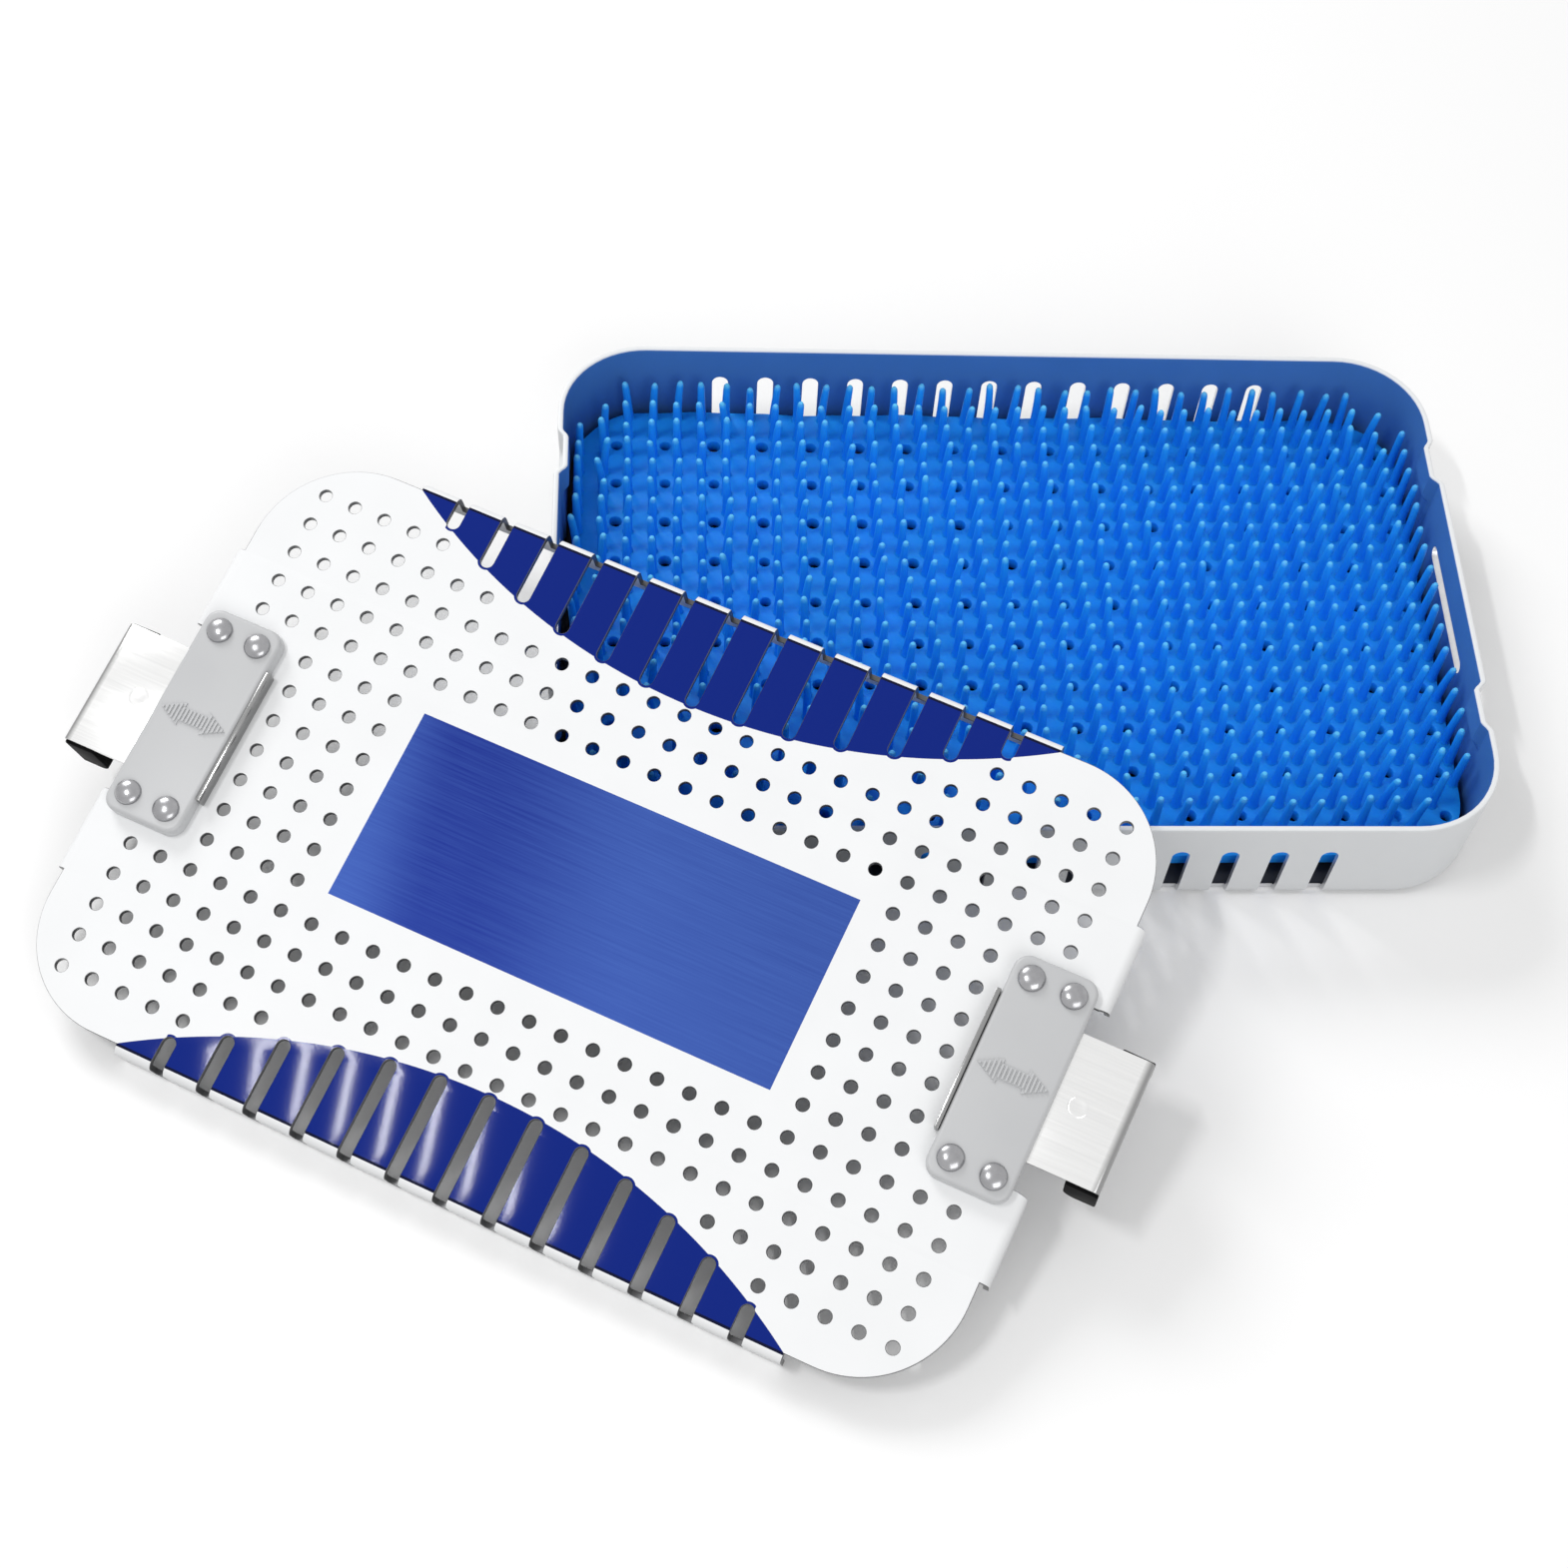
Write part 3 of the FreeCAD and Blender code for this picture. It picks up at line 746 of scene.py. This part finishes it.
# Brushed grain, used by the blue panel and by the stainless latch plates.
grain_group, grain_in, grain_out = new_group(
    "brushed grain", {"Along": 30.0, "Across": 1500.0}, ["Streak"]
)
where = add(grain_group, "TexCoord")
pair = add(grain_group, "CombineXYZ")
stretch = add(grain_group, "VectorMath", operation="MULTIPLY")
streaks = add(grain_group, "TexNoise", {"Scale": 1.0, "Detail": 4.0, "Roughness": 0.65})
wire(
    grain_group,
    (grain_in.outputs["Along"], pair.inputs["X"]),
    (grain_in.outputs["Across"], pair.inputs["Y"]),
    (grain_in.outputs["Across"], pair.inputs["Z"]),
    (where.outputs["Object"], stretch.inputs[0]),
    (pair.outputs["Vector"], stretch.inputs[1]),
    (stretch.outputs["Vector"], streaks.inputs["Vector"]),
    (streaks.outputs["Fac"], grain_out.inputs["Streak"]),
)


def arithmetic(tree):
    """The Math node as a call in this tree: it takes numbers or outputs and gives an output."""
    def maths(operation, a, b=None):
        node = add(tree, "Math", operation=operation)
        for i, value in enumerate((a, b)):
            if isinstance(value, (int, float)):
                node.inputs[i].default_value = value
            elif value is not None:
                tree.links.new(value, node.inputs[i])
        return node.outputs[0]
    return maths


lid_coat, tree, shader = node_material("lid white coat with blue fields")
maths = arithmetic(tree)


def times(a, b):
    return maths("MULTIPLY", a, b)


def under(a, limit):
    """1 where a length is under a limit in mm."""
    return maths("LESS_THAN", a, limit * MM)


def distance(a, b):
    return maths("SQRT", maths("ADD", times(a, a), times(b, b)))


where = add(tree, "TexCoord")
axes = add(tree, "SeparateXYZ")
wire(tree, (where.outputs["Object"], axes.inputs["Vector"]))
x, y, z = (axes.outputs[axis] for axis in "XYZ")
across = maths("ABSOLUTE", x)
along = maths("ABSOLUTE", y)
upper = maths("GREATER_THAN", z, -1.2 * MM)
panel = times(times(under(across, PANEL_HALF_X), under(along, PANEL_HALF_Y)), upper)
# The lens reaches from its arc to the bend, with a scallop of blue round each slot's tip.
reach = distance(maths("SUBTRACT", (LENS_MIDDLE + LENS_R) * MM, along), across)
lens = times(under(reach, LENS_R), under(across, FLANGE_HALF))
column = times(maths("ROUND", maths("DIVIDE", x, SLOT_PITCH * MM)), SLOT_PITCH * MM)
column_arc = maths("SQRT", maths("SUBTRACT", (LENS_R * MM) ** 2, times(column, column)))
slot_tip = maths("SUBTRACT", (LENS_MIDDLE + LENS_R + LID_SLOT_W / 2) * MM, column_arc)
off_slot = maths("SUBTRACT", x, column)
off_tip = distance(off_slot, maths("SUBTRACT", along, slot_tip))
scallop = times(under(off_tip, LID_SLOT_W / 2 + 0.7), under(across, 80))
lens = times(maths("MAXIMUM", lens, scallop), upper)
lens = times(lens, under(along, BEND_Y + 0.6))

coat = add(tree, "Group", node_tree=coat_group)
grain = add(tree, "Group", node_tree=grain_group)
streak = grain.outputs["Streak"]
white = two_tone(tree, srgb(236, 237, 238), srgb(243, 244, 245))
brushed = two_tone(tree, srgb(22, 40, 120), srgb(64, 94, 166))
with_panel = two_tone(tree)
# The lens is painted near-black navy over its last strip, from just before the bend: painted shade
# at the start of the bend.
lens_with_bend_shade = two_tone(tree, srgb(4, 34, 126), srgb(6, 12, 48))
with_lens = two_tone(tree)
# The panel is painted darkest in a band left of the middle and lighter towards both ends: painted
# shade and reflection, over its brushed grain.
run = maths("ADD", times(x, 0.95), times(y, 0.25))
painted_sheen_ramps = []
for start, end in ((-33, 14), (-40, -62)):
    side = add(tree, "MapRange", interpolation_type="SMOOTHSTEP")
    side.inputs["From Min"].default_value = start * MM
    side.inputs["From Max"].default_value = end * MM
    wire(tree, (run, side.inputs["Value"]))
    painted_sheen_ramps.append(side.outputs["Result"])
grain_and_painted_sheen = maths("ADD", times(maths("MAXIMUM", *painted_sheen_ramps), 0.5), times(streak, 0.7))
gloss = maths("SUBTRACT", 0.36, times(lens, 0.29))
gloss = maths("ADD", gloss, times(coat.outputs["Cloud"], 0.04))
gloss = maths("ADD", gloss, times(times(panel, streak), 0.14))
# The strips between the slots bulge a little, so lamps draw streaks along them.
inside = add(tree, "MapRange", {"From Min": LENS_R * MM, "From Max": (LENS_R - 3) * MM})
off_crest = maths("DIVIDE", maths("ABSOLUTE", off_slot), SLOT_PITCH / 2 * MM)
off_crest = maths("SUBTRACT", 1.0, off_crest)
bulge = times(times(times(off_crest, off_crest), -2.1), inside.outputs["Result"])
strip = add(tree, "Bump", {"Strength": 1.0, "Distance": 0.0001})
relief = add(tree, "Bump", {"Strength": 0.05, "Distance": 0.0001})
wire(
    tree,
    (coat.outputs["Cloud"], white.inputs["Factor"]),
    (maths("SUBTRACT", grain_and_painted_sheen, 0.2), brushed.inputs["Factor"]),
    (panel, with_panel.inputs["Factor"]),
    (white.outputs["Result"], with_panel.inputs["A"]),
    (brushed.outputs["Result"], with_panel.inputs["B"]),
    (maths("GREATER_THAN", along, (BEND_Y - 0.1) * MM), lens_with_bend_shade.inputs["Factor"]),
    (lens, with_lens.inputs["Factor"]),
    (with_panel.outputs["Result"], with_lens.inputs["A"]),
    (lens_with_bend_shade.outputs["Result"], with_lens.inputs["B"]),
    (with_lens.outputs["Result"], shader.inputs["Base Color"]),
    (gloss, shader.inputs["Roughness"]),
    (times(panel, 0.55), shader.inputs["Metallic"]),
    (reach, inside.inputs["Value"]),
    (bulge, strip.inputs["Height"]),
    (maths("ADD", coat.outputs["Peel"], times(panel, streak)), relief.inputs["Height"]),
    (strip.outputs["Normal"], relief.inputs["Normal"]),
    (relief.outputs["Normal"], shader.inputs["Normal"]),
)
shader.inputs["Specular IOR Level"].default_value = 0.11
# The lid's cut edges get a dark tone of milled aluminium: painted shade in the walls of its holes
# and slots.
lid_finishes = [lid_coat, bare_edge("cut lid edge in painted shade", 100)]
finished_mesh("lid", lid_mesh, lid_finishes, "lid", ["lid_shell"], LID_PLACE, sharp=20)

# ---------------------------------------------------------------- latch housings
# A die-cast cover at each end of the lid, riveted down over the sliding plate and enamelled light
# grey. A hatched double arrow stands out of its face to show which way the plate moves.

HOUSING_X = 112.9
HOUSING_L = 21.8
HOUSING_W = 59.0
HOUSING_H = 3.8
HOUSING_CORNER_R = 4.0
HOUSING_ROUND = 1.1
PLATE_T = 1.2
PLATE_W = 34.4
PLATE_RUN = 0.15
ENDS = {"right": LID_PLACE, "left": LID_PLACE @ Matrix.Rotation(math.pi, 4, "Z")}
ARROW_REACH = 9.3
ARROW_HEAD = 6.0
ARROW_HALF = 1.9
ARROW_BARB = 3.2
ARROW_RISE = 0.3
RIDGE_RISE = 0.7
RIDGE_HALF = 0.24
RIDGE_PITCH = 1.06
RIDGES_EACH_WAY = 8

enamel = coated("latch housing grey enamel", srgb(187, 188, 190), srgb(196, 197, 198), 0.36, 0.06)


def upright(u, v, h):
    return (u, v, h)


def crosswise(u, v, h):
    """For a section seen from the side, drawn out across the lid."""
    return (u, h, v)


def cover():
    """The casting with its rounded face, less the plate's channel, which is open at both ends."""
    outline = rounded_rectangle(HOUSING_L, HOUSING_W, HOUSING_CORNER_R, 8)
    edge = [(0.15, 0.0), (0.0, 0.15)]
    for a in quarter_turn(6):
        inset = HOUSING_ROUND * (1 - math.cos(a))
        edge.append((inset, HOUSING_H - HOUSING_ROUND * (1 - math.sin(a))))
    rings = []
    for inset, z in edge:
        ring = [(HOUSING_X + x - nx * inset, y - ny * inset, z) for (x, y), (nx, ny) in outline]
        rings.append(ring)
    top = PLATE_T + 2 * PLATE_RUN
    near, far = HOUSING_X - 20, HOUSING_X + 20
    channel = [(near, -1.0), (far, -1.0), (far, top), (near, top)]
    half = PLATE_W / 2 + PLATE_RUN
    return cut_away(stacked(rings), prisms([channel], crosswise, -half, half), [enamel])


def arrow():
    """Double arrow standing out of the cover, with ridges across it."""
    neck = ARROW_REACH - ARROW_HEAD
    head = [(ARROW_REACH, 0), (neck, ARROW_BARB), (neck, ARROW_HALF)]
    upper_side = head + [(-u, v) for u, v in reversed(head)]
    lower_side = [(u, -v) for u, v in reversed(upper_side[1:-1])]
    outline = [(HOUSING_X + u, v) for u, v in upper_side + lower_side]
    field = prisms([outline], upright, HOUSING_H - 0.1, HOUSING_H + ARROW_RISE)
    ridges = []
    for i in range(-RIDGES_EACH_WAY, RIDGES_EACH_WAY + 1):
        u = i * RIDGE_PITCH
        if abs(u) < neck:
            tall = ARROW_HALF - 0.15
        else:
            tall = ARROW_BARB * (ARROW_REACH - abs(u)) / ARROW_HEAD - 0.1
        low, high = HOUSING_X + u - RIDGE_HALF, HOUSING_X + u + RIDGE_HALF
        ridges.append([(low, -tall), (high, -tall), (high, tall), (low, tall)])
    return [field, prisms(ridges, upright, HOUSING_H, HOUSING_H + RIDGE_RISE)]


for end, place in ENDS.items():
    finished_mesh(
        end + "_latch_cover", joined("cover", [cover()] + arrow()), [enamel],
        "lid", [end + "_latch_housing"], place, sharp=30,
    )

# ---------------------------------------------------------------- latch plates
# A strip of brushed stainless steel that slides in the housing. Its inner end is folded up into a
# stop bar, its outer end is folded down and ends in the tongue that enters the tray's latch slot.
# A small dimple in it is the thumb mark.

PLATE_REACH = 142.6
PLATE_BEND_R = 1.6
STOP_W = 37.4
STOP_H = 3.9
TONGUE_W = 24.0
TONGUE_REACH = 3.5
TONGUE_BOTTOM = -15.3
GRIP_T = 7.3
DIMPLE_X = 129.9
# (radius, height over the plate) from the outside of the thumb mark to its middle
DIMPLE_PROFILE = [(2.7, -0.1), (2.6, 0.02), (2.4, 0.1), (2.1, 0.12), (1.5, 0.05), (0.3, 0.02)]


def eased(mesh, width, segments):
    """Rounds every edge of more than 50 degrees."""
    work = bmesh.new()
    work.from_mesh(mesh)
    limit = math.radians(50)
    sharp = [e for e in work.edges if len(e.link_faces) == 2 and e.calc_face_angle() > limit]
    bmesh.ops.bevel(
        work, geom=sharp, offset=width * MM, segments=segments, affect="EDGES", profile=0.5
    )
    work.to_mesh(mesh)
    work.free()
    return mesh


def latch_plate():
    low, top = PLATE_RUN, PLATE_RUN + PLATE_T
    stop = HOUSING_X - HOUSING_L / 2 - PLATE_RUN
    face = PLATE_REACH
    back = face - PLATE_T - GRIP_T - TONGUE_REACH
    foot = TONGUE_BOTTOM + PLATE_T
    outer, inner = [], []
    for a in reversed(quarter_turn(8)):
        for radius, side in ((PLATE_BEND_R, outer), (PLATE_BEND_R - PLATE_T, inner)):
            u = face - PLATE_BEND_R + radius * math.cos(a)
            side.append((u, top - PLATE_BEND_R + radius * math.sin(a)))
    strip = [(stop - PLATE_T / 2, top)] + outer
    strip += [(face, TONGUE_BOTTOM), (face - PLATE_T, TONGUE_BOTTOM)]
    strip += inner[::-1] + [(stop - PLATE_T / 2, low)]
    tongue = [(back, TONGUE_BOTTOM), (face - 0.2, TONGUE_BOTTOM), (face - 0.2, foot), (back, foot)]
    stop_bar = [(stop - PLATE_T, low), (stop, low), (stop, STOP_H), (stop - PLATE_T, STOP_H)]
    parts = []
    for section, width in ((strip, PLATE_W), (tongue, TONGUE_W), (stop_bar, STOP_W)):
        parts.append(eased(prisms([section], crosswise, -width / 2, width / 2), 0.18, 2))
    dish = [[(u, v, top + z) for u, v in circle(DIMPLE_X, 0, r, 24)] for r, z in DIMPLE_PROFILE]
    return joined("plate", parts + [stacked(dish)])


# The folds are painted darker as painted shade: the stop bar all over, the outer fold more towards
# its edge.
stainless, tree, shader = node_material("brushed stainless")
grain = add(tree, "Group", node_tree=grain_group)
grain.inputs["Along"].default_value = 40.0
grain.inputs["Across"].default_value = 1800.0
tint = two_tone(tree, srgb(222, 222, 222), srgb(240, 240, 239))
rough = add(tree, "MapRange", {"To Min": 0.16, "To Max": 0.25})
relief = add(tree, "Bump", {"Strength": 0.05, "Distance": 0.0001})
where = add(tree, "TexCoord")
axes = add(tree, "SeparateXYZ")
outer_fold_shade = add(tree, "MapRange", {"From Min": (PLATE_REACH - 2.4) * MM})
outer_fold_shade.inputs["From Max"].default_value = (PLATE_REACH - 0.8) * MM
fold_shade_mix = two_tone(tree, second=srgb(148, 148, 148))
maths = arithmetic(tree)
stop_bar_shade = maths("LESS_THAN", axes.outputs["X"], (HOUSING_X - HOUSING_L / 2) * MM)
wire(
    tree,
    (where.outputs["Object"], axes.inputs["Vector"]),
    (axes.outputs["X"], outer_fold_shade.inputs["Value"]),
    (maths("MAXIMUM", stop_bar_shade, outer_fold_shade.outputs["Result"]), fold_shade_mix.inputs["Factor"]),
    (grain.outputs["Streak"], tint.inputs["Factor"]),
    (grain.outputs["Streak"], rough.inputs["Value"]),
    (grain.outputs["Streak"], relief.inputs["Height"]),
    (tint.outputs["Result"], fold_shade_mix.inputs["A"]),
    (fold_shade_mix.outputs["Result"], shader.inputs["Base Color"]),
    (rough.outputs["Result"], shader.inputs["Roughness"]),
    (relief.outputs["Normal"], shader.inputs["Normal"]),
)
shader.inputs["Metallic"].default_value = 1.0
for end, place in ENDS.items():
    finished_mesh(
        end + "_latch_strip", latch_plate(), [stainless],
        end + "_latch", [end + "_latch_plate"], place, sharp=35,
    )

# ---------------------------------------------------------------- latch grips
# A block of black moulded plastic clipped inside the fold of each plate, rounded below, for the
# finger that pulls the latch open. A thin cheek at each side covers the edge of the fold's leg.

GRIP_ROUND_R = 3.5
GRIP_FIT = 0.05
CHEEK_IN = 0.6
CHEEK_OUT = 0.7


def latch_grip():
    outer = PLATE_REACH - PLATE_T - GRIP_FIT
    inner = PLATE_REACH - PLATE_T - GRIP_T
    high = PLATE_RUN - GRIP_FIT
    low = TONGUE_BOTTOM + PLATE_T + GRIP_FIT
    back = []
    for a in quarter_turn(8):
        u = inner + GRIP_ROUND_R * (1 - math.sin(a))
        back.append((u, low + GRIP_ROUND_R * (1 - math.cos(a))))
    back.append((inner, high))
    block = [(outer, high), (outer, low)] + back
    cheek = [(PLATE_REACH + 0.05, PLATE_RUN - 0.9), (PLATE_REACH + 0.05, low)] + back
    parts = [prisms([block], crosswise, -PLATE_W / 2, PLATE_W / 2)]
    for side in (-1, 1):
        edges = (side * (PLATE_W / 2 - CHEEK_IN), side * (PLATE_W / 2 + CHEEK_OUT))
        parts.append(prisms([cheek], crosswise, *sorted(edges)))
    return eased(joined("grip", parts), 0.4, 3)


black = coated("black moulded grip", srgb(9, 9, 10), srgb(15, 15, 16), 0.5, 0.3)
black.node_tree.nodes["Principled BSDF"].inputs["Specular IOR Level"].default_value = 0.03
for end, place in ENDS.items():
    finished_mesh(
        end + "_latch_block", latch_grip(), [black],
        end + "_latch", [end + "_latch_grip"], place, sharp=35,
    )

# ---------------------------------------------------------------- rivets
# Eight dome-headed steel rivets, polished, four through each housing and the lid, each closed by a
# small tail under the sheet.

HEAD_R = 3.4
HEAD_H = 1.9
HEAD_EDGE = 0.25
SHANK_R = 1.6
RIVET_OFF_X = 5.5
RIVET_OFF_Y = 23.9
# (height, radius) of the tail under the lid
TAIL_PROFILE = [(-SHEET - 0.9, 1.9), (-SHEET - 0.75, 2.2), (-SHEET - 0.05, 2.4)]

polished, tree, shader = node_material("polished rivet steel")
where = add(tree, "TexCoord")
scuff = add(tree, "TexNoise", {"Scale": 500.0, "Detail": 5.0})
rough = add(tree, "MapRange", {"From Min": 0.35, "From Max": 0.7, "To Min": 0.16, "To Max": 0.32})
tint = two_tone(tree, srgb(176, 176, 178), srgb(138, 138, 141))
wire(
    tree,
    (where.outputs["Object"], scuff.inputs["Vector"]),
    (scuff.outputs["Fac"], rough.inputs["Value"]),
    (scuff.outputs["Fac"], tint.inputs["Factor"]),
    (tint.outputs["Result"], shader.inputs["Base Color"]),
    (rough.outputs["Result"], shader.inputs["Roughness"]),
)
shader.inputs["Metallic"].default_value = 1.0


def rivet(x, y):
    seat = HOUSING_H + 0.02
    rise = HOUSING_H + HEAD_EDGE
    profile = TAIL_PROFILE + [(-SHEET - 0.02, SHANK_R), (seat, SHANK_R)]
    profile += [(seat, HEAD_R - 0.1), (rise, HEAD_R)]
    for i in range(1, 9):
        a = math.pi / 2 * i / 8.6
        profile.append((rise + (HEAD_H - HEAD_EDGE) * math.sin(a), HEAD_R * math.cos(a)))
    return stacked([[(u, v, z) for u, v in circle(x, y, radius, 32)] for z, radius in profile])


seats = [(HOUSING_X + i * RIVET_OFF_X, j * RIVET_OFF_Y) for i in (-1, 1) for j in (-1, 1)]
for end, place in ENDS.items():
    for x, y in seats:
        across_name = "outer" if x > HOUSING_X else "inner"
        along_name = "back" if (y > 0) == (end == "right") else "front"
        name = end + "_rivet_" + along_name + "_" + across_name
        mesh = rivet(x, y)
        finished_mesh(name + "_dome", mesh, [polished], "lid", [name], place, sharp=40)

# ---------------------------------------------------------------- floor, light and camera
# The white floor that the tray and the lid stand on, an even overcast world with three soft lamps,
# and the camera of the photograph.

FLOOR_HALF = 1800.0
FLOOR_Z = -0.02
FADE_FROM = 0.8
FADE_TO = 1.5
EYE = Vector((-88.4, -378.4, 512.7)) * MM
LOOK = Vector((0.0720, 0.4811, -0.8737))
UP = Vector((0.0027, 0.8759, 0.4825))

corners = [(-1, -1), (1, -1), (1, 1), (-1, 1)]
corners = [(sx * FLOOR_HALF, sy * FLOOR_HALF, FLOOR_Z) for sx, sy in corners]
floor_mesh = mesh_from("floor", corners, [(0, 1, 2, 3)])
floor = bpy.data.objects.new("floor", floor_mesh)
bpy.context.scene.collection.objects.link(floor)


def seen_rays(tree):
    """1 for the rays that show the background: camera, glossy and transmission rays."""
    path = add(tree, "LightPath")
    maths = arithmetic(tree)
    seen = maths("MAXIMUM", path.outputs["Is Camera Ray"], path.outputs["Is Glossy Ray"])
    return maths("MAXIMUM", seen, path.outputs["Is Transmission Ray"])


# The floor fades out into the white world well away from the object.
paper, tree, shader = node_material("white paper floor")
shader.inputs["Roughness"].default_value = 0.9
shader.inputs["Specular IOR Level"].default_value = 0.0
tone = two_tone(tree, srgb(176, 176, 176), srgb(254, 254, 254))
where = add(tree, "TexCoord")
away = add(tree, "VectorMath", operation="LENGTH")
fade = add(tree, "MapRange", {"To Min": 1.0, "To Max": 0.0}, interpolation_type="SMOOTHSTEP")
fade.inputs["From Min"].default_value = FADE_FROM
fade.inputs["From Max"].default_value = FADE_TO
wire(
    tree,
    (seen_rays(tree), tone.inputs["Factor"]),
    (tone.outputs["Result"], shader.inputs["Base Color"]),
    (where.outputs["Object"], away.inputs[0]),
    (away.outputs["Value"], fade.inputs["Value"]),
    (fade.outputs["Result"], shader.inputs["Alpha"]),
)
floor_mesh.materials.append(paper)

world = bpy.data.worlds.new("studio")
bpy.context.scene.world = world
world.use_nodes = True
tree = world.node_tree
sky = tree.nodes["Background"]
sky.inputs["Color"].default_value = (1, 1, 1, 1)
level = add(tree, "MapRange", {"To Min": 0.53, "To Max": 1.0})
wire(
    tree,
    (seen_rays(tree), level.inputs["Value"]),
    (level.outputs["Result"], sky.inputs["Strength"]),
)


def soft_lamp(name, at, aim, width, height, watts):
    lamp = bpy.data.lights.new(name, "AREA")
    lamp.shape = "RECTANGLE"
    lamp.size = width
    lamp.size_y = height
    lamp.energy = watts
    o = bpy.data.objects.new(name, lamp)
    bpy.context.scene.collection.objects.link(o)
    o.location = at
    o.rotation_euler = (Vector(aim) - Vector(at)).to_track_quat("-Z", "Y").to_euler()


soft_lamp("key lamp", (-1.0, 1.4, 1.3), (-0.1, -0.05, 0), 0.8, 0.8, 18)
soft_lamp("fill lamp", (0.3, -1.5, 0.9), (0, 0, 0), 1.1, 1.1, 9)
soft_lamp("strip lamp", (-0.722, -0.209, 1.32), (-0.17, -0.14, 0), 0.34, 0.045, 4.2)

camera = bpy.data.cameras.new("camera")
camera.sensor_width = 36
camera.lens = 51.57
camera.shift_x = -0.0420
camera.shift_y = 0.1032
camera.clip_start = 0.01
eye = bpy.data.objects.new("camera", camera)
bpy.context.scene.collection.objects.link(eye)
look = LOOK.normalized()
right = look.cross(UP).normalized()
up = right.cross(look)
turn = Matrix((right, up, -look)).transposed()
eye.matrix_world = Matrix.Translation(EYE) @ turn.to_4x4()
bpy.context.scene.camera = eye
bpy.context.scene.view_settings.view_transform = "Standard"
